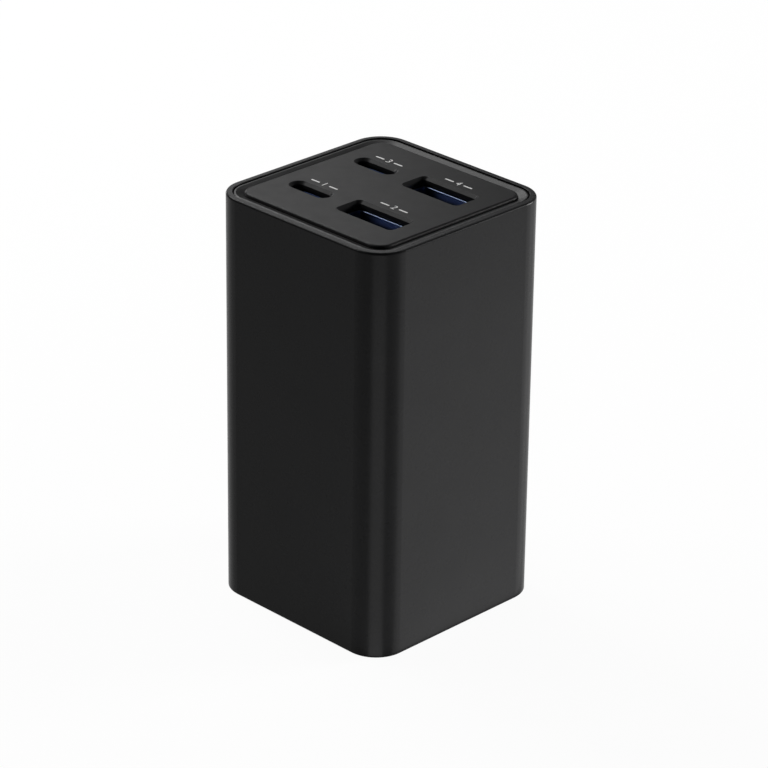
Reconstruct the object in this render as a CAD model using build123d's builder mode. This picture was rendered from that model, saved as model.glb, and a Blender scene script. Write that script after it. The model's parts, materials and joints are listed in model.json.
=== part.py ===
"""Upright desktop charger with four charging ports on its top face.

Millimetres, +Z up. The origin is the centre of the base. The ports are read from
the front, which faces -Y, and the mains inlet is low on the back wall, at +Y.
"""
import os

from build123d import *

os.makedirs("parts", exist_ok=True)

# Sleeve
body_width = 42.0
body_height = 77.9
corner_radius = 6.1
wall = 2.0
rim_width = 1.2
edge_radius = 0.45
foot_radius = 0.3
rim_inner_radius = 0.1

# Fits
seam_gap = 0.12
slip = 0.1
pin_clearance = 0.05
mouth_gap = 0.55

# Top cover and port panel
cover_depth = 4.0
cover_floor = 1.4
ring_sink = 0.2
ring_radius = 0.28
bezel_land = 0.43
bezel_width = 1.47
bezel_drop = 0.45
panel_gap = 0.08
panel_thickness = 1.15
panel_edge_radius = 0.45
peg_radius = 0.8

# Skirts and snap lugs of both covers
skirt_wall = 1.4
top_skirt = 6.0
base_skirt = 5.0
lug_width = 8.0
lug_proud = 0.5
lug_height = 1.6
lug_setback = 1.6
lug_room = 0.4

# Base cover
base_depth = 3.0
board_rise = 1.5
post_width = 5.0
post_depth = 4.4
post_height = 6.0
post_x = 6.0
rib_thickness = 1.2
rib_width = 5.0

# Ports
port_spacing = 16.0
usb_c_x = -9.4
usb_a_x = 6.5
port_height = 13.5
sheet = 0.3
lip_radius = 0.12
bevel_width = 0.55
bevel_depth = 0.5

# Wide port
usb_a_length = 12.5
usb_a_height = 5.12
usb_a_window_corner = 0.5
usb_a_shell_corner = 0.6
usb_a_base = 3.2
tongue_length = 11.1
tongue_thickness = 1.84
tongue_back_gap = 0.56
tongue_recess = 1.2
tongue_chamfer = 0.25
blade_width = 0.9
blade_thickness = 0.25
blade_bow = 0.45
blade_groove = 0.2
blade_inner = 1.0
blade_outer = 3.5
finger_width = 1.6
finger_length = 5.0
finger_slit = 0.4
finger_x = 3.0

# Oval port
usb_c_length = 8.34
usb_c_height = 2.56
usb_c_window_grow = 0.13
pedestal_height = 4.0
pedestal_width = 4.4
usb_c_plug = 2.0
mid_length = 6.69
mid_thickness = 0.7
mid_recess = 0.8
pad_count = 12
pad_pitch = 0.5
pad_width = 0.25
pad_thickness = 0.06
pad_length = 4.0

# Boards
board_thickness = 1.6
board_margin = 0.7
smd_gap = 0.2
tab_width = 6.0
tab_x = 9.0
tab_rise = 0.5
leg_width = 1.6
tail_length = 0.8
isolation_slot = 1.2
isolation_length = 18.0

# Screws
screw_radius = 0.95
screw_head_radius = 1.8
screw_head = 1.2
screw_bite = 5.0
boss_radius = 2.3
boss_gap = 0.7
pilot_spare = 1.0
drive_width = 0.5
drive_depth = 0.6

# Mains inlet
inlet_z = 11.5
inlet_length = 15.4
lobe_radius = 3.9
waist_height = 5.4
pin_spacing = 8.6
inlet_shell = 1.2
inlet_recess = 11.5
inlet_back = 4.0
flange_overlap = 1.8
flange_thickness = 1.5
pin_radius = 1.2
pin_setback = 1.6
pin_tail = 3.0
lead_radius = 0.9
lead_rise = 3.0
lead_bend = 2.0

# Sheets that line the sleeve
spreader_thickness = 0.8
spreader_gap = 0.15
film_thickness = 0.4
film_gap = 0.05
lining_top_gap = 1.5
lining_reach = 14.0

# Transformer
core_width = 22.0
core_height = 18.0
core_half = 8.5
core_leg = 4.0
window_half = 8.2
window_depth = 6.0
bobbin_wall = 0.75
bobbin_flange = 0.8
winding_margin = 0.5
foot_thickness = 1.5
foot_width = 12.0
core_lift = 2.0

# Parts on the boards
part_edge = 0.4
bulk_margin = 0.9
bulk_length = 22.0
bulk_space = 1.0
crimp_depth = 0.4
crimp_width = 0.8
crimp_rise = 1.2
film_cap_width = 6.0
film_cap_height = 12.0
film_cap_rise = 11.0
choke_outer = 5.4
choke_inner = 2.9
choke_thickness = 4.4
coil_thickness = 0.7
coil_sweep = 130.0
fuse_radius = 2.0
fuse_length = 10.0
disc_radius = 4.0
disc_thickness = 3.2
disc_lift = 0.8
disc_pin = 0.3
disc_pitch = 5.0
switch_width = 8.0
switch_height = 0.9
pad_margin = 1.0
bridge_width = 10.0
bridge_height = 8.0
bridge_rise = 1.5
coupler_width = 4.4
coupler_height = 3.6
coupler_rise = 2.0
coupler_x = 9.0
out_cap_radius = 3.15
out_cap_length = 8.0
out_cap_space = 1.7
inductor_width = 7.0
inductor_height = 3.5
inductor_gap = 1.7
inductor_corner = 0.5
controller_width = 5.0
controller_height = 0.85
controller_x = 6.0

# Derived sizes
cavity = body_width - 2 * wall
cavity_radius = corner_radius - wall
rebate = body_width - 2 * rim_width
rebate_radius = corner_radius - rim_width
cover = rebate - 2 * seam_gap
cover_radius = rebate_radius - seam_gap
bezel_top = cover - 2 * bezel_land
seat = bezel_top - 2 * bezel_width
seat_radius = cover_radius - bezel_land - bezel_width
panel = seat - 2 * panel_gap
panel_radius = seat_radius - panel_gap
skirt = cavity - 2 * slip
skirt_radius = cavity_radius - slip
skirt_inner = skirt - 2 * skirt_wall
skirt_inner_radius = skirt_radius - skirt_wall

# Derived heights
ledge_z = body_height - cover_depth
ring_z = body_height - ring_sink
seat_z = body_height - panel_thickness
floor_z = seat_z - cover_floor
mouth_z = seat_z - mouth_gap
port_board_top = mouth_z - port_height
port_board_z = port_board_top - board_thickness
board_foot_z = base_depth + board_rise
top_catch_z = ledge_z - lug_setback
base_catch_z = base_depth + lug_setback
skirt_top_z = base_depth + base_skirt

# Derived places
rows = (-port_spacing / 2, port_spacing / 2)
screw_x = skirt_inner / 2 - boss_gap - boss_radius
screw_spots = [(-screw_x, 0), (screw_x, 0)]
usb_a_outer = (usb_a_length + 2 * sheet, usb_a_height + 2 * sheet)
usb_c_outer = (usb_c_length + 2 * sheet, usb_c_height + 2 * sheet)
usb_a_leg = usb_a_length / 2 + sheet / 2
usb_c_leg = usb_c_length / 2 + sheet / 2
peg_x = (usb_c_x + usb_c_outer[0] / 2 + usb_a_x - usb_a_outer[0] / 2) / 2
tongue_y = usb_a_height / 2 - tongue_back_gap - tongue_thickness / 2
tongue_tip_z = mouth_z - tongue_recess
blade_y = tongue_y - tongue_thickness / 2 + blade_groove
blade_spots = [-blade_outer, -blade_inner, blade_inner, blade_outer]
spreader = cavity - 2 * spreader_gap
film = spreader - 2 * spreader_thickness - 2 * film_gap
film_inner = film - 2 * film_thickness
lining_top_z = port_board_z - lining_top_gap
smd_space = coupler_rise + smd_gap
board_front = -film_inner / 2 + smd_space
board_back = board_front + board_thickness
board_y = (board_front + board_back) / 2
main_board_width = film_inner - 2 * board_margin
port_board_width = cavity - 2 * board_margin
lobe_x = inlet_length / 2 - lobe_radius
nose_length = inlet_length + 2 * inlet_shell
nose_height = 2 * lobe_radius + 2 * inlet_shell
flange_height = nose_height + 2 * flange_overlap
inlet_floor = body_width / 2 - inlet_recess
inlet_end = inlet_floor - inlet_back
pin_end = inlet_end - pin_tail

# Rows of parts up the main board share the free height evenly
bulk_diameter = (main_board_width - 2 * bulk_margin - 2 * bulk_space) / 3
foot_reach = core_height / 2 + slip + foot_thickness
stack_bottom = inlet_z + flange_height / 2
stack_top = port_board_z - inductor_height
stack_gap = (stack_top - stack_bottom - bulk_diameter - 2 * foot_reach) / 3
bulk_z = stack_bottom + stack_gap + bulk_diameter / 2
core_z = stack_top - stack_gap - foot_reach
core_front = board_back + core_lift
core_middle = core_front + core_half
bobbin_front = core_middle - window_depth + slip
bobbin_rear = core_middle + window_depth - slip
bobbin_bore = core_leg + slip
bobbin_outer = bobbin_bore + bobbin_wall
flange_radius = window_half - slip
winding_radius = flange_radius - winding_margin


def across(y):
    """Upright plane across the body at depth y, with X across and Z up, facing -Y."""
    return Plane.XZ.offset(-y)


def upright(angle):
    """Upright plane through the centre line that points its X axis along the angle."""
    out = Vector(1, 0, 0).rotate(Axis.Z, angle)
    return Plane(origin=(0, 0, 0), x_dir=out, z_dir=out.rotate(Axis.Z, -90))


def save(built, label):
    """Name a finished piece and write it out."""
    built.part.label = label
    export_step(built.part, f"parts/{label}.step")


# Sleeve: plain square tube with soft corners, rebated at both ends for the covers
with BuildPart() as sleeve:
    with BuildSketch():
        RectangleRounded(body_width, body_width, corner_radius)
    extrude(amount=body_height)
    fillet(sleeve.faces().sort_by(Axis.Z)[-1].edges(), edge_radius)
    fillet(sleeve.faces().sort_by(Axis.Z)[0].edges(), foot_radius)
    with BuildSketch():
        RectangleRounded(cavity, cavity, cavity_radius)
    extrude(amount=body_height, mode=Mode.SUBTRACT)
    with BuildSketch(Plane.XY.offset(ledge_z)):
        RectangleRounded(rebate, rebate, rebate_radius)
    extrude(amount=cover_depth, mode=Mode.SUBTRACT)
    fillet(sleeve.faces().sort_by(Axis.Z)[-1].inner_wires().edges(), rim_inner_radius)
    with BuildSketch():
        RectangleRounded(rebate, rebate, rebate_radius)
    extrude(amount=base_depth, mode=Mode.SUBTRACT)
    # Pockets for the snap lugs of the covers
    for angle in (0, 90, 180, 270):
        with BuildSketch(upright(angle)):
            with Locations((cavity / 2, top_catch_z + slip)):
                Rectangle(2 * (lug_proud + slip), lug_height + lug_room, align=(Align.CENTER, Align.MAX))
        extrude(amount=lug_width / 2 + slip, both=True, mode=Mode.SUBTRACT)
    for angle in (0, 180, 270):
        with BuildSketch(upright(angle)):
            with Locations((cavity / 2, base_catch_z - slip)):
                Rectangle(2 * (lug_proud + slip), lug_height + lug_room, align=(Align.CENTER, Align.MIN))
        extrude(amount=lug_width / 2 + slip, both=True, mode=Mode.SUBTRACT)
    # Opening for the nose of the mains inlet
    with BuildSketch(across(body_width / 2)):
        with Locations((0, inlet_z)):
            SlotOverall(nose_length + 2 * slip, nose_height + 2 * slip)
    extrude(amount=2 * wall, mode=Mode.SUBTRACT)
save(sleeve, "sleeve")

# Top cover: ring just below the rim, whose bezel falls to the pocket of the port panel
with BuildPart() as top_cover:
    with BuildSketch(Plane.XY.offset(ledge_z)):
        RectangleRounded(cover, cover, cover_radius)
    extrude(amount=cover_depth - ring_sink)
    fillet(top_cover.faces().sort_by(Axis.Z)[-1].edges(), ring_radius)
    with BuildSketch(Plane.XY.offset(seat_z)):
        RectangleRounded(seat, seat, seat_radius)
    extrude(amount=panel_thickness, mode=Mode.SUBTRACT)
    with BuildSketch(Plane.XY.offset(ring_z - bezel_drop)):
        RectangleRounded(seat, seat, seat_radius)
    with BuildSketch(Plane.XY.offset(ring_z)):
        RectangleRounded(bezel_top, bezel_top, cover_radius - bezel_land)
    loft(mode=Mode.SUBTRACT)
    with BuildSketch(Plane.XY.offset(ledge_z)):
        RectangleRounded(skirt, skirt, skirt_radius)
    extrude(amount=-top_skirt)
    with BuildSketch(Plane.XY.offset(ledge_z - top_skirt)):
        RectangleRounded(skirt_inner, skirt_inner, skirt_inner_radius)
    extrude(amount=floor_z - ledge_z + top_skirt, mode=Mode.SUBTRACT)
    # Bosses that carry the port board
    with BuildSketch(Plane.XY.offset(port_board_top)):
        with Locations(*screw_spots):
            Circle(boss_radius)
    extrude(amount=floor_z - port_board_top)
    with BuildSketch(Plane.XY.offset(port_board_top)):
        with Locations(*screw_spots):
            Circle(screw_radius + pin_clearance)
    extrude(amount=screw_bite + pilot_spare, mode=Mode.SUBTRACT)
    # Openings over the receptacles, and holes for the pegs of the panel
    with BuildSketch(Plane.XY.offset(floor_z)):
        with Locations(*[(usb_a_x, y) for y in rows]):
            RectangleRounded(usb_a_outer[0] + 2 * slip, usb_a_outer[1] + 2 * slip, usb_a_window_corner)
        with Locations(*[(usb_c_x, y) for y in rows]):
            SlotOverall(usb_c_outer[0] + 2 * slip, usb_c_outer[1] + 2 * slip)
        with Locations(*[(peg_x, y) for y in rows]):
            Circle(peg_radius + pin_clearance)
    extrude(amount=cover_floor, mode=Mode.SUBTRACT)
    for angle in (0, 90, 180, 270):
        with BuildSketch(upright(angle)):
            with Locations((skirt / 2, top_catch_z)):
                Polygon((0, 0), (lug_proud, 0), (0, -lug_height), align=None)
        extrude(amount=lug_width / 2, both=True)
save(top_cover, "top_cover")

# Port panel: plate flush with the rim, with a bevelled lead-in round each port
with BuildPart() as port_panel:
    with BuildSketch(Plane.XY.offset(seat_z)):
        RectangleRounded(panel, panel, panel_radius)
    extrude(amount=panel_thickness)
    fillet(port_panel.faces().sort_by(Axis.Z)[-1].edges(), panel_edge_radius)
    with BuildSketch(Plane.XY.offset(seat_z)):
        with Locations(*[(usb_a_x, y) for y in rows]):
            RectangleRounded(usb_a_length + sheet, usb_a_height, usb_a_window_corner)
        with Locations(*[(usb_c_x, y) for y in rows]):
            SlotOverall(usb_c_length + 2 * usb_c_window_grow, usb_c_height)
    extrude(amount=panel_thickness, mode=Mode.SUBTRACT)
    face = port_panel.faces().sort_by(Axis.Z)[-1]
    chamfer(face.inner_wires().edges(), bevel_width, bevel_depth, reference=face)
    with BuildSketch(Plane.XY.offset(seat_z)):
        with Locations(*[(peg_x, y) for y in rows]):
            Circle(peg_radius)
    extrude(amount=slip - cover_floor)
save(port_panel, "port_panel")

# Base cover: flat foot of the charger, with posts for the main board
with BuildPart() as base_cover:
    with BuildSketch():
        RectangleRounded(cover, cover, cover_radius)
    extrude(amount=base_depth)
    with BuildSketch(Plane.XY.offset(base_depth)):
        RectangleRounded(skirt, skirt, skirt_radius)
        RectangleRounded(skirt_inner, skirt_inner, skirt_inner_radius, mode=Mode.SUBTRACT)
        with Locations((0, skirt / 2)):
            Rectangle(nose_length + 2 * flange_overlap + 4 * slip, 4 * skirt_wall, mode=Mode.SUBTRACT)
    extrude(amount=base_skirt)
    with BuildSketch(Plane.XY.offset(base_depth)):
        with Locations((-post_x, board_y), (post_x, board_y)):
            Rectangle(post_width, post_depth)
    extrude(amount=post_height)
    with BuildSketch(Plane.XY.offset(board_foot_z)):
        with Locations((0, board_y)):
            Rectangle(2 * post_x + 2 * post_width, board_thickness + 2 * slip)
    extrude(amount=post_height, mode=Mode.SUBTRACT)
    # Rib that backs the inlet when a plug is pushed in
    with BuildSketch(Plane.XY.offset(base_depth)):
        with Locations((0, inlet_end - slip)):
            Rectangle(rib_width, rib_thickness, align=(Align.CENTER, Align.MAX))
    extrude(amount=inlet_z + waist_height / 2 - base_depth)
    for angle in (0, 180, 270):
        with BuildSketch(upright(angle)):
            with Locations((skirt / 2, base_catch_z)):
                Polygon((0, 0), (lug_proud, 0), (0, lug_height), align=None)
        extrude(amount=lug_width / 2, both=True)
save(base_cover, "base_cover")

# Mains inlet: figure-eight recess with two round pins
with BuildPart() as inlet_housing:
    with BuildSketch(across(body_width / 2)):
        with Locations((0, inlet_z)):
            SlotOverall(nose_length, nose_height)
    extrude(amount=body_width / 2 - inlet_end)
    with BuildSketch(across(cavity / 2)):
        with Locations((0, inlet_z)):
            RectangleRounded(nose_length + 2 * flange_overlap, flange_height, flange_overlap)
    extrude(amount=flange_thickness)
    with BuildSketch(across(body_width / 2)):
        with Locations((-lobe_x, inlet_z), (lobe_x, inlet_z)):
            Circle(lobe_radius)
        with Locations((0, inlet_z)):
            Rectangle(2 * lobe_x, waist_height)
    extrude(amount=inlet_recess, mode=Mode.SUBTRACT)
    with BuildSketch(across(inlet_floor)):
        with Locations((-pin_spacing / 2, inlet_z), (pin_spacing / 2, inlet_z)):
            Circle(pin_radius + pin_clearance)
    extrude(amount=inlet_back, mode=Mode.SUBTRACT)
save(inlet_housing, "inlet_housing")

with BuildPart() as inlet_pins:
    with BuildSketch(across(pin_end)):
        with Locations((-pin_spacing / 2, inlet_z), (pin_spacing / 2, inlet_z)):
            Circle(pin_radius)
    extrude(amount=pin_end - body_width / 2 + pin_setback)
    fillet(inlet_pins.faces().sort_by(Axis.Y)[-2:].edges(), pin_radius / 2)
save(inlet_pins, "inlet_pins")

# Leads from the inlet pins to the main board
for label, x in (("live_lead", pin_spacing / 2), ("neutral_lead", -pin_spacing / 2)):
    with BuildPart() as lead:
        with BuildLine():
            FilletPolyline(
                (x, pin_end, inlet_z),
                (x, (2 * pin_end + board_back) / 3, inlet_z),
                (x, (pin_end + 2 * board_back) / 3, inlet_z + lead_rise),
                (x, board_back, inlet_z + lead_rise),
                radius=lead_bend,
            )
        with BuildSketch(across(pin_end)):
            with Locations((x, inlet_z)):
                Circle(lead_radius)
        sweep()
    save(lead, label)

# Wide ports: folded shell, moulded tongue and four spring blades
for number, y in enumerate(rows, 1):
    with BuildPart() as usb_a_shell:
        with BuildSketch(Plane.XY.offset(port_board_top)):
            with Locations((usb_a_x, y)):
                RectangleRounded(*usb_a_outer, usb_a_shell_corner + sheet)
                RectangleRounded(usb_a_length, usb_a_height, usb_a_shell_corner, mode=Mode.SUBTRACT)
        extrude(amount=port_height)
        fillet(usb_a_shell.faces().sort_by(Axis.Z)[-1].edges(), lip_radius)
        # Slits that free two spring fingers in each long wall
        with BuildSketch(across(y)):
            with Locations((usb_a_x, mouth_z - finger_length)):
                with GridLocations(2 * finger_x, 0, 2, 1):
                    Rectangle(finger_width + 2 * finger_slit, finger_length)
                with Locations((-finger_x, -finger_slit), (finger_x, -finger_slit)):
                    Rectangle(finger_width, finger_length, mode=Mode.SUBTRACT)
        extrude(amount=usb_a_outer[1], both=True, mode=Mode.SUBTRACT)
        with BuildSketch(Plane.XY.offset(port_board_top)):
            with Locations((usb_a_x - usb_a_leg, y), (usb_a_x + usb_a_leg, y)):
                Rectangle(sheet, leg_width)
        extrude(amount=-board_thickness - tail_length)
    save(usb_a_shell, f"usb_a_shell_{number}")

    with BuildPart() as usb_a_tongue:
        with BuildSketch(Plane.XY.offset(port_board_top)):
            with Locations((usb_a_x, y)):
                RectangleRounded(usb_a_length - slip, usb_a_height - slip, usb_a_shell_corner)
        extrude(amount=usb_a_base)
        with BuildSketch(Plane.XY.offset(port_board_top)):
            with Locations((usb_a_x, y + tongue_y)):
                Rectangle(tongue_length, tongue_thickness)
        extrude(amount=tongue_tip_z - port_board_top)
        chamfer(usb_a_tongue.faces().sort_by(Axis.Z)[-1].edges(), tongue_chamfer)
        # Grooves that carry the blades through the base and up the tongue
        with BuildSketch(Plane.XY.offset(port_board_top)):
            with Locations(*[(usb_a_x + x, y + blade_y) for x in blade_spots]):
                Rectangle(blade_width + slip, usb_a_height, align=(Align.CENTER, Align.MAX))
        extrude(amount=tongue_tip_z - port_board_top - 2 * tongue_chamfer, mode=Mode.SUBTRACT)
    save(usb_a_tongue, f"usb_a_tongue_{number}")

    with BuildPart() as usb_a_contacts:
        for x in blade_spots:
            with BuildSketch(Plane.YZ.offset(usb_a_x + x)):
                with Locations((y + blade_y, tongue_tip_z)):
                    Polygon(
                        (0, -3 * blade_bow),
                        (-blade_thickness, -3 * blade_bow),
                        (-blade_thickness - blade_bow, -6 * blade_bow),
                        (-blade_thickness, -9 * blade_bow),
                        (-blade_thickness, port_board_z - tail_length - tongue_tip_z),
                        (0, port_board_z - tail_length - tongue_tip_z),
                        align=None,
                    )
            extrude(amount=blade_width / 2, both=True)
    save(usb_a_contacts, f"usb_a_contacts_{number}")

# Oval ports: drawn shell, moulded pedestal with a middle tongue, and rows of pads
for number, y in enumerate(rows, 1):
    with BuildPart() as usb_c_shell:
        with BuildSketch(Plane.XY.offset(port_board_top + pedestal_height)):
            with Locations((usb_c_x, y)):
                SlotOverall(*usb_c_outer)
                SlotOverall(usb_c_length, usb_c_height, mode=Mode.SUBTRACT)
        extrude(amount=port_height - pedestal_height)
        fillet(usb_c_shell.faces().sort_by(Axis.Z)[-1].edges(), lip_radius)
        with BuildSketch(Plane.XY.offset(port_board_top + pedestal_height + usb_c_plug)):
            with Locations((usb_c_x - usb_c_leg, y), (usb_c_x + usb_c_leg, y)):
                Rectangle(sheet, leg_width / 2)
        extrude(amount=-pedestal_height - usb_c_plug - board_thickness - tail_length)
    save(usb_c_shell, f"usb_c_shell_{number}")

    with BuildPart() as usb_c_tongue:
        with BuildSketch(Plane.XY.offset(port_board_top)):
            with Locations((usb_c_x, y)):
                Rectangle(usb_c_length - 2 * slip, pedestal_width)
        extrude(amount=pedestal_height)
        with BuildSketch(Plane.XY.offset(port_board_top + pedestal_height)):
            with Locations((usb_c_x, y)):
                SlotOverall(usb_c_length - 2 * slip, usb_c_height - 2 * slip)
        extrude(amount=usb_c_plug)
        with BuildSketch(Plane.XY.offset(port_board_top + pedestal_height + usb_c_plug)):
            with Locations((usb_c_x, y)):
                Rectangle(mid_length, mid_thickness)
        extrude(amount=port_height - pedestal_height - usb_c_plug - mid_recess)
        chamfer(usb_c_tongue.faces().sort_by(Axis.Z)[-1].edges().filter_by(Axis.X), mid_thickness / 4)
    save(usb_c_tongue, f"usb_c_tongue_{number}")

    with BuildPart() as usb_c_contacts:
        with BuildSketch(Plane.XY.offset(mouth_z - 2 * mid_recess)):
            with Locations((usb_c_x, y)):
                with GridLocations(pad_pitch, mid_thickness + pad_thickness, pad_count, 2):
                    Rectangle(pad_width, pad_thickness)
        extrude(amount=-pad_length)
    save(usb_c_contacts, f"usb_c_contacts_{number}")

# Port board: lies flat under the receptacles and hangs from the bosses
with BuildPart() as port_board:
    with BuildSketch(Plane.XY.offset(port_board_z)):
        RectangleRounded(port_board_width, port_board_width, cavity_radius)
        with Locations(*screw_spots):
            Circle(screw_radius + slip, mode=Mode.SUBTRACT)
        with Locations((-tab_x, board_y), (tab_x, board_y)):
            Rectangle(tab_width + 2 * slip, board_thickness + 2 * slip, mode=Mode.SUBTRACT)
        with Locations(*[(usb_a_x + x, y) for x in (-usb_a_leg, usb_a_leg) for y in rows]):
            Rectangle(sheet + 2 * slip, leg_width + 2 * slip, mode=Mode.SUBTRACT)
        with Locations(*[(usb_c_x + x, y) for x in (-usb_c_leg, usb_c_leg) for y in rows]):
            Rectangle(sheet + 2 * slip, leg_width / 2 + 2 * slip, mode=Mode.SUBTRACT)
        blade_middle = blade_y - blade_thickness / 2
        with Locations(*[(usb_a_x + x, y + blade_middle) for x in blade_spots for y in rows]):
            Rectangle(blade_width + 2 * slip, blade_thickness + 2 * slip, mode=Mode.SUBTRACT)
    extrude(amount=board_thickness)
save(port_board, "port_board")

with BuildPart() as board_screws:
    with BuildSketch(Plane.XY.offset(port_board_z)):
        with Locations(*screw_spots):
            Circle(screw_radius)
    extrude(amount=board_thickness + screw_bite)
    with BuildSketch(Plane.XY.offset(port_board_z)):
        with Locations(*screw_spots):
            Circle(screw_head_radius)
    extrude(amount=-screw_head)
    with BuildSketch(Plane.XY.offset(port_board_z - screw_head)):
        with Locations(*screw_spots):
            Rectangle(2 * screw_radius, drive_width)
            Rectangle(drive_width, 2 * screw_radius)
    extrude(amount=drive_depth, mode=Mode.SUBTRACT)
save(board_screws, "board_screws")

# Main board: stands in the posts of the base and tabs into the port board
with BuildPart() as main_board:
    with BuildSketch(across(board_front)):
        with Locations((0, board_foot_z)):
            Rectangle(main_board_width, port_board_z - board_foot_z, align=(Align.CENTER, Align.MIN))
        with Locations((-tab_x, port_board_z), (tab_x, port_board_z)):
            Rectangle(tab_width, board_thickness + tab_rise, align=(Align.CENTER, Align.MIN))
        with Locations((0, core_z)):
            SlotOverall(isolation_length, isolation_slot, mode=Mode.SUBTRACT)
    extrude(amount=-board_thickness)
save(main_board, "main_board")

# Folded sheets that line the front and both sides of the sleeve
for label, width, gap, thickness in (
    ("heat_spreader", spreader, spreader_gap, spreader_thickness),
    ("insulating_film", film, spreader_gap + spreader_thickness + film_gap, film_thickness),
):
    with BuildPart() as lining:
        with BuildSketch(Plane.XY.offset(skirt_top_z)):
            RectangleRounded(width, width, cavity_radius - gap)
            offset(amount=-thickness, mode=Mode.SUBTRACT)
            with Locations((0, lining_reach)):
                Rectangle(body_width, body_width, align=(Align.CENTER, Align.MIN), mode=Mode.SUBTRACT)
        extrude(amount=lining_top_z - skirt_top_z)
    save(lining, label)

# Transformer: two core halves closed on a wound bobbin
for label, start, opening in (
    ("transformer_core_front", core_front, core_middle - window_depth),
    ("transformer_core_rear", core_middle, core_middle),
):
    with BuildPart() as core:
        with BuildSketch(across(start)):
            with Locations((0, core_z)):
                Rectangle(core_width, core_height)
        extrude(amount=-core_half)
        with BuildSketch(across(opening)):
            with Locations((0, core_z)):
                Rectangle(2 * window_half, core_height)
                Circle(core_leg, mode=Mode.SUBTRACT)
        extrude(amount=-window_depth, mode=Mode.SUBTRACT)
    save(core, label)

with BuildPart() as transformer_bobbin:
    with BuildSketch(across(bobbin_front)):
        with Locations((0, core_z)):
            Circle(bobbin_outer)
    extrude(amount=bobbin_front - bobbin_rear)
    with BuildSketch(across(bobbin_front), across(bobbin_rear - bobbin_flange)):
        with Locations((0, core_z)):
            Circle(flange_radius)
    extrude(amount=-bobbin_flange)
    # Feet that carry the bobbin on the board, above and below the core
    for side in (-1, 1):
        with BuildSketch(across(bobbin_front)):
            with Locations((0, core_z + side * (foot_reach + bobbin_outer) / 2)):
                Rectangle(foot_width, foot_reach - bobbin_outer)
        extrude(amount=-bobbin_flange)
        with BuildSketch(across(board_back)):
            with Locations((0, core_z + side * (foot_reach - foot_thickness / 2))):
                Rectangle(foot_width, foot_thickness)
        extrude(amount=board_back - bobbin_front - bobbin_flange)
    with BuildSketch(across(bobbin_front)):
        with Locations((0, core_z)):
            Circle(bobbin_bore)
    extrude(amount=bobbin_front - bobbin_rear, mode=Mode.SUBTRACT)
save(transformer_bobbin, "transformer_bobbin")

with BuildPart() as transformer_winding:
    with BuildSketch(across(bobbin_front + bobbin_flange)):
        with Locations((0, core_z)):
            Circle(winding_radius)
            Circle(bobbin_outer + pin_clearance, mode=Mode.SUBTRACT)
    extrude(amount=bobbin_front - bobbin_rear + 2 * bobbin_flange)
save(transformer_winding, "transformer_winding")

# Storage capacitors: one row across the main board
bulk_pitch = bulk_diameter + bulk_space
for number, x in enumerate((-bulk_pitch, 0, bulk_pitch), 1):
    with BuildPart() as bulk_capacitor:
        with BuildSketch(across(board_back)):
            with Locations((x, bulk_z)):
                Circle(bulk_diameter / 2)
        extrude(amount=-bulk_length)
        fillet(bulk_capacitor.faces().sort_by(Axis.Y)[-1].edges(), part_edge)
        with BuildSketch(across(board_back + crimp_rise)):
            with Locations((x, bulk_z)):
                Circle(bulk_diameter / 2)
                Circle(bulk_diameter / 2 - crimp_depth, mode=Mode.SUBTRACT)
        extrude(amount=-crimp_width, mode=Mode.SUBTRACT)
    save(bulk_capacitor, f"bulk_capacitor_{number}")

# Mains filter beside the inlet: film capacitor, choke and fuse
with BuildPart() as film_capacitor:
    with BuildSketch(across(board_back)):
        with Locations((film_cap_width / 2 - main_board_width / 2, inlet_z)):
            Rectangle(film_cap_width, film_cap_height)
    extrude(amount=-film_cap_rise)
    chamfer(film_capacitor.faces().sort_by(Axis.Y)[-1].edges(), part_edge)
save(film_capacitor, "film_capacitor")

choke_x = main_board_width / 2 - choke_thickness / 2 - coil_thickness
choke_y = board_back + choke_outer + coil_thickness
coil_width = choke_outer - choke_inner + 2 * coil_thickness
bore_width = choke_outer - choke_inner + 2 * pin_clearance
choke_axis = Axis((0, choke_y, inlet_z), (1, 0, 0))
with BuildPart() as choke_core:
    with BuildSketch(Plane.YZ.offset(choke_x - choke_thickness / 2)):
        with Locations((choke_y, inlet_z)):
            Circle(choke_outer)
            Circle(choke_inner, mode=Mode.SUBTRACT)
    extrude(amount=choke_thickness)
save(choke_core, "choke_core")

with BuildPart() as choke_coils:
    for start in (-coil_sweep / 2, 180 - coil_sweep / 2):
        outward = Vector(0, 1, 0).rotate(Axis.X, start)
        section = Plane(origin=(choke_x, choke_y, inlet_z), x_dir=outward, z_dir=outward.rotate(Axis.X, 90))
        with BuildSketch(section):
            with Locations(((choke_outer + choke_inner) / 2, 0)):
                Rectangle(coil_width, choke_thickness + 2 * coil_thickness)
                Rectangle(bore_width, choke_thickness + 2 * pin_clearance, mode=Mode.SUBTRACT)
        revolve(axis=choke_axis, revolution_arc=coil_sweep)
save(choke_coils, "choke_coils")

with BuildPart() as fuse:
    with BuildSketch(Plane.XY.offset(inlet_z - fuse_length / 2)):
        with Locations((0, board_back + fuse_radius)):
            Circle(fuse_radius)
        with Locations((0, board_back)):
            Rectangle(fuse_radius, fuse_radius, align=(Align.CENTER, Align.MIN))
    extrude(amount=fuse_length)
save(fuse, "fuse")

# Disc parts beside the transformer
disc_x = (core_width / 2 + main_board_width / 2) / 2
for label, x in (("varistor", disc_x), ("safety_capacitor", -disc_x)):
    with BuildPart() as disc:
        with BuildSketch(Plane.YZ.offset(x)):
            with Locations((board_back + disc_lift + disc_radius, core_z)):
                Circle(disc_radius)
        extrude(amount=disc_thickness / 2, both=True)
        fillet(disc.edges().filter_by(GeomType.CIRCLE), disc_thickness / 4)
        with BuildSketch(across(board_back)):
            with Locations((x, core_z - disc_pitch / 2), (x, core_z + disc_pitch / 2)):
                Circle(disc_pin)
        extrude(amount=-disc_lift - disc_radius)
    save(disc, label)

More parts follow.
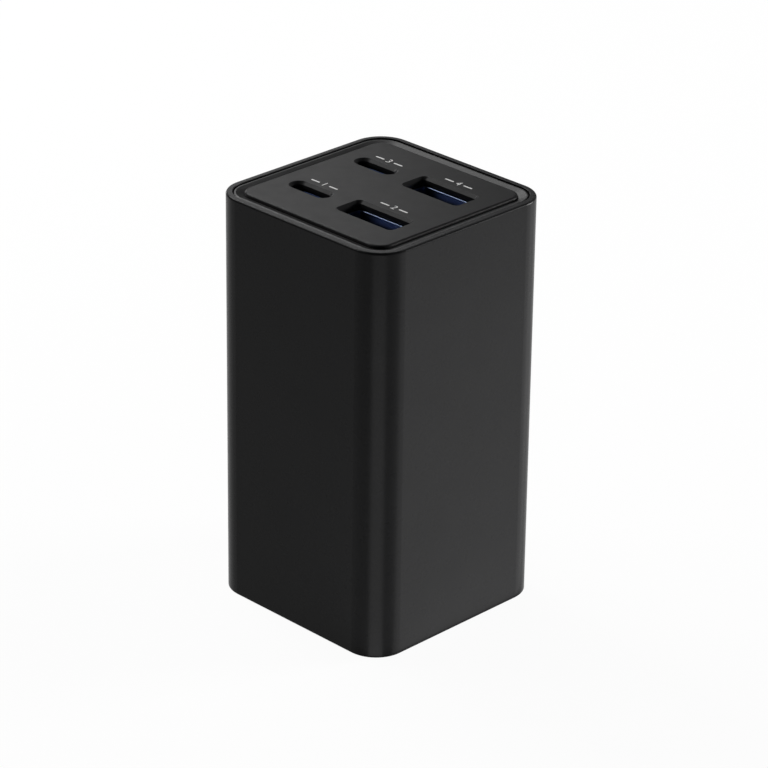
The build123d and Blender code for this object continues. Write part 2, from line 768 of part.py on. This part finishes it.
# Flat parts on the front of the main board, and the pad that carries their heat
with BuildPart() as power_switch:
    with BuildSketch(across(board_front)):
        with Locations((0, core_z)):
            Rectangle(switch_width, switch_width)
    extrude(amount=switch_height)
save(power_switch, "power_switch")

with BuildPart() as thermal_pad:
    with BuildSketch(across(board_front - switch_height)):
        with Locations((0, core_z)):
            Rectangle(switch_width + 2 * pad_margin, switch_width + 2 * pad_margin)
    extrude(amount=smd_space - switch_height)
save(thermal_pad, "thermal_pad")

with BuildPart() as bridge_rectifier:
    with BuildSketch(across(board_front)):
        with Locations((0, bulk_z)):
            Rectangle(bridge_width, bridge_height)
    extrude(amount=bridge_rise)
    chamfer(bridge_rectifier.faces().sort_by(Axis.Y)[0].edges(), part_edge)
save(bridge_rectifier, "bridge_rectifier")

with BuildPart() as optocoupler:
    with BuildSketch(across(board_front)):
        with Locations((coupler_x, core_z)):
            Rectangle(coupler_height, coupler_width)
    extrude(amount=coupler_rise)
    chamfer(optocoupler.faces().sort_by(Axis.Y)[0].edges(), part_edge)
save(optocoupler, "optocoupler")

# Parts on the port board: controllers above, inductors and capacitors below
inductor_x = screw_x - screw_head_radius - inductor_gap - inductor_width / 2
for number, side in enumerate((-1, 1), 1):
    with BuildPart() as port_controller:
        with BuildSketch(Plane.XY.offset(port_board_top)):
            with Locations((side * controller_x, 0)):
                Rectangle(controller_width, controller_width)
        extrude(amount=controller_height)
    save(port_controller, f"port_controller_{number}")

    with BuildPart() as buck_inductor:
        with BuildSketch(Plane.XY.offset(port_board_z)):
            with Locations((side * inductor_x, 0)):
                RectangleRounded(inductor_width, inductor_width, inductor_corner)
        extrude(amount=-inductor_height)
        chamfer(buck_inductor.faces().sort_by(Axis.Z)[0].edges(), part_edge)
    save(buck_inductor, f"buck_inductor_{number}")

out_cap_y = (rows[1] + blade_y + film_inner / 2) / 2
out_cap_pitch = 2 * out_cap_radius + out_cap_space
for number, step in enumerate((-1.5, -0.5, 0.5, 1.5), 1):
    with BuildPart() as output_capacitor:
        with BuildSketch(Plane.XY.offset(port_board_z)):
            with Locations((step * out_cap_pitch, out_cap_y)):
                Circle(out_cap_radius)
        extrude(amount=-out_cap_length)
        fillet(output_capacitor.faces().sort_by(Axis.Z)[0].edges(), part_edge)
    save(output_capacitor, f"output_capacitor_{number}")
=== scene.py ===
"""Studio view of the upright desktop charger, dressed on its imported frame."""
import json
import math

import bmesh
import bpy
from mathutils import Matrix, Vector


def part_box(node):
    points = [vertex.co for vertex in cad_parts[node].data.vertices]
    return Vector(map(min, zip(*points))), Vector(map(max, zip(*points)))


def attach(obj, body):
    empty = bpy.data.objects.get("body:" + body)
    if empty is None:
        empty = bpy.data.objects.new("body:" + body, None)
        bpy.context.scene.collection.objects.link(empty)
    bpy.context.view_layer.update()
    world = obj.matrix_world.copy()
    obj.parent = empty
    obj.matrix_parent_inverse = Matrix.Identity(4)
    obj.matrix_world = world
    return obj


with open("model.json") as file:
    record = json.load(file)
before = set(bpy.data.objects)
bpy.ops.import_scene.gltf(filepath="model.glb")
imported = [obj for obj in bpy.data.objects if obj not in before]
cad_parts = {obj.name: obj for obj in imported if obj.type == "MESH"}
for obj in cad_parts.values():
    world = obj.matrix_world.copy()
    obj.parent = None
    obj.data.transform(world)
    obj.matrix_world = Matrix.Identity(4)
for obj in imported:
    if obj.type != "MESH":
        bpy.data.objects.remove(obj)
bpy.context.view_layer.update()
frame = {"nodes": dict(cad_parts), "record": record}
nodes = frame["nodes"]
MM = 0.001


class Finish:
    """A node material that is built up from textures laid over the object's own space."""

    def __init__(self, name, **sockets):
        self.mat = bpy.data.materials.new(name)
        self.mat.use_nodes = True
        self.tree = self.mat.node_tree
        self.bsdf = self.tree.nodes["Principled BSDF"]
        self.place = self.add("ShaderNodeTexCoord").outputs["Object"]
        for key, value in sockets.items():
            self.bsdf.inputs[key.replace("_", " ")].default_value = value

    def add(self, kind, **props):
        node = self.tree.nodes.new(kind)
        for key, value in props.items():
            setattr(node, key, value)
        return node

    def wire(self, source, target):
        self.tree.links.new(source, target)

    def stretched(self, stretch):
        if stretch == (1, 1, 1):
            return self.place
        node = self.add("ShaderNodeMapping")
        node.inputs["Scale"].default_value = stretch
        self.wire(self.place, node.inputs["Vector"])
        return node.outputs["Vector"]

    def noise(self, size, detail=3.0, rough=0.55, stretch=(1, 1, 1)):
        """Cloudy value whose features are about size metres across."""
        node = self.add("ShaderNodeTexNoise")
        node.inputs["Scale"].default_value = 1 / size
        node.inputs["Detail"].default_value = detail
        node.inputs["Roughness"].default_value = rough
        self.wire(self.stretched(stretch), node.inputs["Vector"])
        return node.outputs[0]

    def cells(self, size, feature="F1", distance="EUCLIDEAN", stretch=(1, 1, 1)):
        """Distance in a field of cells that are about size metres across."""
        node = self.add("ShaderNodeTexVoronoi", feature=feature, distance=distance)
        node.inputs["Scale"].default_value = 1 / size
        self.wire(self.stretched(stretch), node.inputs["Vector"])
        return node.outputs["Distance"]

    def bands(self, pitch, axis, wander=0.0):
        """Even ridges across an axis, pitch metres apart."""
        node = self.add("ShaderNodeTexWave", bands_direction=axis)
        node.inputs["Scale"].default_value = math.pi / 10 / pitch
        node.inputs["Distortion"].default_value = wander
        self.wire(self.place, node.inputs["Vector"])
        return node.outputs["Fac"]

    def colour(self, value, *stops):
        """Blend of colours along a value, given as (position, colour) stops."""
        node = self.add("ShaderNodeValToRGB")
        ramp = node.color_ramp
        while len(ramp.elements) < len(stops):
            ramp.elements.new(0.5)
        for element, (position, shade) in zip(ramp.elements, stops):
            element.position = position
            element.color = (*shade, 1)
        self.wire(value, node.inputs["Fac"])
        self.wire(node.outputs["Color"], self.bsdf.inputs["Base Color"])
        return self

    def rubbed(self, start, end, shade):
        """Paler colour between two heights in metres, a painted highlight."""
        axes = self.add("ShaderNodeSeparateXYZ")
        self.wire(self.place, axes.inputs[0])
        amount = self.add("ShaderNodeMapRange")
        amount.inputs["From Min"].default_value = start
        amount.inputs["From Max"].default_value = end
        self.wire(axes.outputs["Z"], amount.inputs["Value"])
        mix = self.add("ShaderNodeMix", data_type="RGBA")
        self.wire(amount.outputs["Result"], mix.inputs["Factor"])
        self.wire(self.bsdf.inputs["Base Color"].links[0].from_socket, mix.inputs["A"])
        mix.inputs["B"].default_value = (*shade, 1)
        self.wire(mix.outputs["Result"], self.bsdf.inputs["Base Color"])
        return self

    def gloss(self, value, low, high):
        """Roughness between two values along a value."""
        node = self.add("ShaderNodeMapRange")
        node.inputs["From Min"].default_value = 0.3
        node.inputs["From Max"].default_value = 0.7
        node.inputs["To Min"].default_value = low
        node.inputs["To Max"].default_value = high
        self.wire(value, node.inputs["Value"])
        self.wire(node.outputs["Result"], self.bsdf.inputs["Roughness"])
        return self

    def relief(self, *layers):
        """Bump from (value, strength, depth in metres) layers, coarse to fine."""
        below = None
        for value, strength, depth in layers:
            node = self.add("ShaderNodeBump")
            node.inputs["Strength"].default_value = strength
            node.inputs["Distance"].default_value = depth
            self.wire(value, node.inputs["Height"])
            if below:
                self.wire(below, node.inputs["Normal"])
            below = node.outputs["Normal"]
        self.wire(below, self.bsdf.inputs["Normal"])
        return self


def tint(colour, factor):
    return tuple(c * factor for c in colour)


def moulded(name, colour, low, high, level, grain=0.2 * MM, depth=0.006 * MM, rubbed=None):
    """Moulded plastic: faint flow clouds, and a fine eroded grain."""
    f = Finish(name, Specular_IOR_Level=level)
    f.colour(f.noise(9 * MM), (0.3, tint(colour, 0.93)), (0.7, tint(colour, 1.07)))
    # Optional paler band between two heights: a painted highlight
    if rubbed:
        f.rubbed(*rubbed)
    f.gloss(f.noise(2.5 * MM, 4), low, high)
    return f.relief((f.noise(grain * 4), 0.1, depth), (f.cells(grain), 0.35, depth)).mat


def plated(name, colour, low, high, stretch, depth=0.004 * MM):
    """Plated or drawn metal with fine lines along one direction."""
    f = Finish(name, Metallic=1.0)
    lines = f.noise(0.25 * MM, 2, 0.6, stretch)
    f.colour(f.noise(3 * MM), (0.3, tint(colour, 0.8)), (0.7, tint(colour, 1.1)))
    f.gloss(lines, low, high)
    return f.relief((lines, 0.2, depth)).mat


def laminate(name):
    """Solder mask over copper tracks."""
    f = Finish(name, Specular_IOR_Level=0.4)
    tracks = f.cells(2.6 * MM, "DISTANCE_TO_EDGE")
    f.colour(tracks, (0.0, (0.02, 0.2, 0.09)), (0.07, (0.02, 0.19, 0.085)), (0.09, (0.008, 0.085, 0.04)))
    f.gloss(f.noise(1.5 * MM), 0.28, 0.4)
    return f.relief((tracks, 0.4, 0.05 * MM)).mat


def wound(name, axis, pitch):
    """Enamelled copper wire in tight turns."""
    f = Finish(name, Metallic=1.0)
    turns = f.bands(pitch, axis, 0.15)
    # Colour follows the turns: dark in the grooves between them, painted shade, and pale on their crests,
    # painted highlight
    f.colour(turns, (0.0, (0.14, 0.04, 0.012)), (0.5, (0.62, 0.24, 0.08)), (1.0, (0.8, 0.38, 0.16)))
    f.gloss(f.noise(1.2 * MM), 0.25, 0.38)
    return f.relief((turns, 0.8, 0.12 * MM)).mat


def printed(name):
    """Pad-printed white ink, a little thin in places."""
    f = Finish(name, Specular_IOR_Level=0.2)
    f.colour(f.noise(0.25 * MM), (0.25, (0.62, 0.62, 0.62)), (0.6, (0.86, 0.86, 0.85)))
    f.gloss(f.noise(0.6 * MM), 0.5, 0.65)
    return f.relief((f.noise(0.12 * MM), 0.2, 0.003 * MM)).mat


def sintered(name, colour, rough, grain):
    """Pressed and fired, dipped or potted stuff with a speckled skin."""
    f = Finish(name, Specular_IOR_Level=0.35)
    f.colour(f.noise(grain, 5, 0.7), (0.3, tint(colour, 0.7)), (0.7, tint(colour, 1.25)))
    f.gloss(f.noise(grain * 3), rough - 0.06, rough + 0.08)
    return f.relief((f.noise(grain, 5, 0.7), 0.25, 0.03 * MM)).mat


BLACK = (0.009, 0.009, 0.0093)
TOP_BLACK = (0.02, 0.02, 0.0205)
# Paler band painted on the sleeve's top rim, a painted highlight
RIM_PAINTED_HIGHLIGHT = (77.78 * MM, 77.88 * MM, (0.034, 0.034, 0.035))
finishes = {
    "housing_black": moulded("sleeve_plastic", BLACK, 0.26, 0.3, 0.06, rubbed=RIM_PAINTED_HIGHLIGHT),
    "cover_black": moulded("bezel_plastic", TOP_BLACK, 0.3, 0.36, 0.3, 0.16 * MM, 0.003 * MM),
    "panel_black": moulded("panel_plastic", TOP_BLACK, 0.3, 0.37, 0.08, 0.16 * MM, 0.004 * MM),
    "base_black": moulded("base_plastic", BLACK, 0.34, 0.42, 0.07),
    "inlet_black": moulded("inlet_plastic", (0.011, 0.011, 0.0115), 0.34, 0.42, 0.2, 0.16 * MM, 0.003 * MM),
    # Port shells: metal darkened and tinted navy, painted shade of the port openings with painted blue
    # light thrown back from the tongues
    "port_shell": plated("shell_plate_painted_shade", (0.22, 0.28, 0.42), 0.3, 0.4, (1, 1, 0.08), 0.0006 * MM),
    "port_blue": moulded("tongue_blue", (0.004, 0.035, 0.17), 0.32, 0.42, 0.35, 0.12 * MM, 0.003 * MM),
    "port_dark": moulded("tongue_dark", (0.012, 0.015, 0.03), 0.34, 0.44, 0.3, 0.12 * MM, 0.003 * MM),
    "contact_gold": plated("contact_gold", (0.78, 0.55, 0.22), 0.2, 0.32, (1, 1, 0.1)),
    "pin_plate": plated("pin_nickel", (0.7, 0.7, 0.71), 0.16, 0.28, (1, 0.06, 1)),
    "board_green": laminate("solder_mask"),
    "screw_steel": plated("screw_zinc", (0.55, 0.55, 0.56), 0.28, 0.4, (1, 1, 0.4)),
    "spreader_aluminium": plated("spreader_sheet", (0.74, 0.75, 0.76), 0.3, 0.45, (1, 1, 0.05)),
    "film_black": moulded("film_sheet", (0.04, 0.04, 0.04), 0.3, 0.4, 0.4),
    "ferrite_grey": sintered("ferrite", (0.07, 0.07, 0.075), 0.6, 0.3 * MM),
    "winding_copper": wound("copper_turns", "Y", 0.45 * MM),
    "bobbin_black": moulded("bobbin_plastic", (0.03, 0.03, 0.03), 0.4, 0.5, 0.4),
    "can_aluminium": plated("capacitor_can", (0.64, 0.65, 0.68), 0.25, 0.38, (0.15, 1, 1)),
    "box_grey": sintered("potted_box", (0.36, 0.37, 0.38), 0.5, 0.5 * MM),
    "disc_blue": sintered("dipped_coat", (0.04, 0.14, 0.4), 0.3, 0.6 * MM),
    "fuse_black": moulded("shrink_sleeve", (0.025, 0.025, 0.025), 0.4, 0.5, 0.4),
    "chip_black": sintered("chip_package", (0.03, 0.03, 0.033), 0.5, 0.12 * MM),
    "pad_grey": sintered("soft_pad", (0.28, 0.32, 0.36), 0.7, 0.4 * MM),
    "lead_brown": moulded("lead_jacket_brown", (0.18, 0.06, 0.025), 0.38, 0.46, 0.4),
    "lead_blue": moulded("lead_jacket_blue", (0.025, 0.12, 0.42), 0.38, 0.46, 0.4),
}
for part in frame["record"]["subparts"]:
    slots = nodes[part["node"]].data.materials
    slots.clear()
    slots.append(finishes[part["material_slot"]])

# The oval ports get a darker, navy plate than the wide ones: painted shade of their narrow openings
painted_shade_plate = plated("shell_smoked", (0.016, 0.03, 0.075), 0.32, 0.42, (1, 1, 0.08), 0.0006 * MM)
for row in (1, 2):
    nodes[f"usb_c_shell_{row}"].data.materials[0] = painted_shade_plate

# Port numbers, printed on the panel behind each port
panel_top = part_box("port_panel")[1].z
ink = printed("white_ink")
NUMERAL_SIZE = 2.1 * MM
BAR_LENGTH, BAR_HEIGHT, BAR_PLACE = 2.1 * MM, 0.36 * MM, 2.25 * MM
INK_FILM = 0.012 * MM


def bar(mesh, centre, length, height):
    """Flat printed bar with round ends."""
    outline = []
    for side in (1, -1):
        for step in range(9):
            angle = math.radians(-90 + 22.5 * step)
            outline.append(mesh.verts.new((
                centre + side * (length / 2 - height / 2 + math.cos(angle) * height / 2),
                side * math.sin(angle) * height / 2,
                0,
            )))
    mesh.faces.new(outline)


def mark(number, x, y):
    """A numeral between two short bars, as a film of ink that stands on the panel."""
    letter = bpy.data.curves.new(f"numeral_{number}", "FONT")
    letter.body = str(number)
    letter.size = NUMERAL_SIZE
    letter.align_x = "CENTER"
    letter.align_y = "CENTER"
    letter.resolution_u = 6
    shape = bpy.data.objects.new(f"numeral_{number}", letter)
    bpy.context.collection.objects.link(shape)
    bpy.context.view_layer.update()
    flat = bpy.data.meshes.new_from_object(shape.evaluated_get(bpy.context.evaluated_depsgraph_get()))
    bpy.data.objects.remove(shape)

    built = bmesh.new()
    built.from_mesh(flat)
    for side in (-1, 1):
        bar(built, side * BAR_PLACE, BAR_LENGTH, BAR_HEIGHT)
    raised = bmesh.ops.extrude_face_region(built, geom=built.faces[:])["geom"]
    upper = [v for v in raised if isinstance(v, bmesh.types.BMVert)]
    bmesh.ops.translate(built, vec=(0, 0, INK_FILM), verts=upper)
    bmesh.ops.recalc_face_normals(built, faces=built.faces[:])
    mesh = bpy.data.meshes.new(f"port_mark_{number}")
    built.to_mesh(mesh)
    built.free()
    mesh.materials.append(ink)
    piece = bpy.data.objects.new(f"port_mark_{number}", mesh)
    piece.location = (x, y, panel_top - INK_FILM / 4)
    bpy.context.collection.objects.link(piece)
    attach(piece, "root")


number = 0
for row in (1, 2):
    for kind, offset in (("c", 3.3 * MM), ("a", 4.7 * MM)):
        number += 1
        low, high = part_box(f"usb_{kind}_shell_{row}")
        middle = (low + high) / 2
        mark(number, middle.x, middle.y + offset)


# Camera at the photo's angle, as fitted to the outline of the body
VIEW_DEGREES = (44.897, 25.289, 0.765)
EYE_BACK, EYE_RIGHT, EYE_UP = 0.66285, 0.001424, 0.03695
FOCAL_LENGTH = 169.02


def camera():
    azimuth, elevation, roll = (math.radians(v) for v in VIEW_DEGREES)
    flat = Vector((math.sin(azimuth), -math.cos(azimuth), 0))
    back = flat * math.cos(elevation) + Vector((0, 0, math.sin(elevation)))
    right = Vector((0, 0, 1)).cross(back).normalized()
    up = back.cross(right)
    right, up = (
        right * math.cos(roll) + up * math.sin(roll),
        up * math.cos(roll) - right * math.sin(roll),
    )
    data = bpy.data.cameras.new("camera")
    data.sensor_width = 36
    data.lens = FOCAL_LENGTH
    data.clip_start = 0.01
    eye = bpy.data.objects.new("camera", data)
    eye.matrix_world = Matrix((right, up, back)).transposed().to_4x4()
    eye.location = back * EYE_BACK + right * EYE_RIGHT + up * EYE_UP
    bpy.context.collection.objects.link(eye)
    bpy.context.scene.camera = eye


camera()


LAMP_DISTANCE = 0.7
MIDDLE = Vector((0, 0, 0.045))


def softbox(name, azimuth, elevation, width, height, glow):
    """Area lamp that faces the middle of the charger; azimuth turns from +X towards +Y."""
    a, e = math.radians(azimuth), math.radians(elevation)
    outward = Vector((math.cos(a) * math.cos(e), math.sin(a) * math.cos(e), math.sin(e)))
    data = bpy.data.lights.new(name, "AREA")
    data.shape = "RECTANGLE"
    data.size = width
    data.size_y = height
    data.energy = glow * width * height * math.pi
    lamp = bpy.data.objects.new(name, data)
    lamp.location = MIDDLE + outward * LAMP_DISTANCE
    lamp.rotation_euler = outward.to_track_quat("Z", "Y").to_euler()
    lamp.visible_camera = False
    bpy.context.collection.objects.link(lamp)


softbox("key_left", 180, 42, 0.24, 0.24, 11.8)
softbox("front_left", 210, 42, 0.24, 0.24, 5.5)
softbox("left_low", 162, 6, 0.24, 0.12, 4.0)
softbox("back_high", 150, 42, 0.4, 0.24, 2.4)
softbox("back_low", 145, 24, 0.24, 0.24, 1.22)
softbox("side_right", 57, 8, 0.24, 0.24, 36)


def seen(tree):
    """One for a ray that shows the background: straight to the camera, or in a reflection or glass."""
    path = tree.nodes.new("ShaderNodeLightPath")
    total = path.outputs["Is Camera Ray"]
    for other in ("Is Glossy Ray", "Is Transmission Ray"):
        either = tree.nodes.new("ShaderNodeMath")
        either.operation = "MAXIMUM"
        tree.links.new(total, either.inputs[0])
        tree.links.new(path.outputs[other], either.inputs[1])
        total = either.outputs[0]
    return total


def blend(tree, factor, first, second):
    mix = tree.nodes.new("ShaderNodeMixShader")
    if isinstance(factor, float):
        mix.inputs[0].default_value = factor
    else:
        tree.links.new(factor, mix.inputs[0])
    tree.links.new(first, mix.inputs[1])
    tree.links.new(second, mix.inputs[2])
    return mix.outputs[0]


FLOOR_HALF = 3
FLOOR_LIT = (0.35, 0.35, 0.35, 1)
FLOOR_SHEET = (0.95, 0.95, 0.95, 1)
FLOOR_WHITE = 0.95


def studio_floor():
    """Floor that shows white with the object's shadow, and throws back less light than it shows."""
    built = bmesh.new()
    bmesh.ops.create_grid(built, x_segments=8, y_segments=8, size=FLOOR_HALF)
    mesh = bpy.data.meshes.new("floor")
    built.to_mesh(mesh)
    built.free()
    floor = bpy.data.objects.new("floor", mesh)
    bpy.context.collection.objects.link(floor)

    mat = bpy.data.materials.new("pale_floor")
    mat.use_nodes = True
    tree = mat.node_tree
    tree.nodes.clear()
    lit = tree.nodes.new("ShaderNodeBsdfDiffuse")
    lit.inputs["Color"].default_value = FLOOR_LIT
    sheet = tree.nodes.new("ShaderNodeBsdfDiffuse")
    sheet.inputs["Color"].default_value = FLOOR_SHEET
    white = tree.nodes.new("ShaderNodeEmission")
    shown = blend(tree, FLOOR_WHITE, sheet.outputs[0], white.outputs[0])
    out = tree.nodes.new("ShaderNodeOutputMaterial")
    tree.links.new(blend(tree, seen(tree), lit.outputs[0], shown), out.inputs["Surface"])
    mesh.materials.append(mat)


studio_floor()


def reach(x, y, azimuth, length):
    """Point at a distance from another, all in millimetres."""
    a = math.radians(azimuth)
    return x + length * math.cos(a), y + length * math.sin(a)


CARD_HEIGHT = 0.1 * MM


def card(name, glow, *corners):
    """Glowing card that lies on the floor and shows in the gloss of the walls above it."""
    mesh = bpy.data.meshes.new(name)
    points = [(x * MM, y * MM, CARD_HEIGHT) for x, y in corners]
    mesh.from_pydata(points, [], [range(len(points))])
    mat = bpy.data.materials.new(name)
    mat.use_nodes = True
    tree = mat.node_tree
    tree.nodes.clear()
    upward = tree.nodes.new("ShaderNodeEmission")
    upward.inputs["Strength"].default_value = glow
    clear = tree.nodes.new("ShaderNodeBsdfTransparent")
    below = tree.nodes.new("ShaderNodeNewGeometry").outputs["Backfacing"]
    out = tree.nodes.new("ShaderNodeOutputMaterial")
    tree.links.new(blend(tree, below, upward.outputs[0], clear.outputs[0]), out.inputs["Surface"])
    mesh.materials.append(mat)
    sheet = bpy.data.objects.new(name, mesh)
    sheet.visible_camera = False
    sheet.visible_shadow = False
    bpy.context.collection.objects.link(sheet)


def fan(name, glow, length, first, first_azimuth, last, last_azimuth):
    """Card that widens from the edge between two points, each with the direction it leaves in."""
    card(name, glow, first, reach(*first, first_azimuth, length), reach(*last, last_azimuth, length), last)


fan("card_corner", 3.8, 190, (18.5, -20.6), -68, (20.6, -18.5), -24)
fan("card_right", 2.5, 240, (21.6, -16.5), 22, (21.6, 16.5), 80)

world = bpy.data.worlds.new("studio")
world.use_nodes = True
soft = world.node_tree.nodes["Background"]
soft.inputs["Color"].default_value = (1, 1, 1, 1)
soft.inputs["Strength"].default_value = 0.02
bpy.context.scene.world = world

bpy.context.scene.view_settings.view_transform = "Standard"
